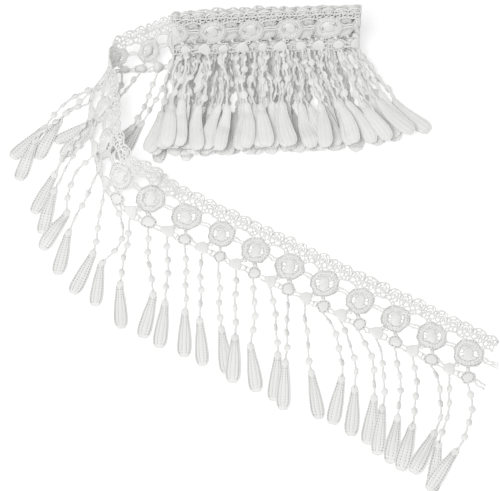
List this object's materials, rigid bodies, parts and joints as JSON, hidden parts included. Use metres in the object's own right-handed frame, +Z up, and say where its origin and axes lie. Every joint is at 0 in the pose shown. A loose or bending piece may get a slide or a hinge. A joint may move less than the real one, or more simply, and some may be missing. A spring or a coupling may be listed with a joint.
{
  "type": "venise lace trim",
  "caption": "White embroidered lace trim with a picot edge, ring medallions and beaded drop fringe, half wound in a flat coil and half lying loose.",
  "frame": {"origin": "on the surface that the trim lies on, under the middle of its bounding box", "axes": "+Z up from that surface, +X to the right as seen from the front, +Y away from the front"},
  "size_m": [0.2956, 0.306, 0.0524],
  "materials": {
    "thread": "white embroidery thread, matte with a faint satin sheen"
  },
  "bodies": {
    "root": {"lace_coil": "thread", "lace_tail": "thread", "coil_fringe": "thread", "tail_fringe_turn": "thread", "tail_fringe_front": "thread"}
  },
  "joints": []
}
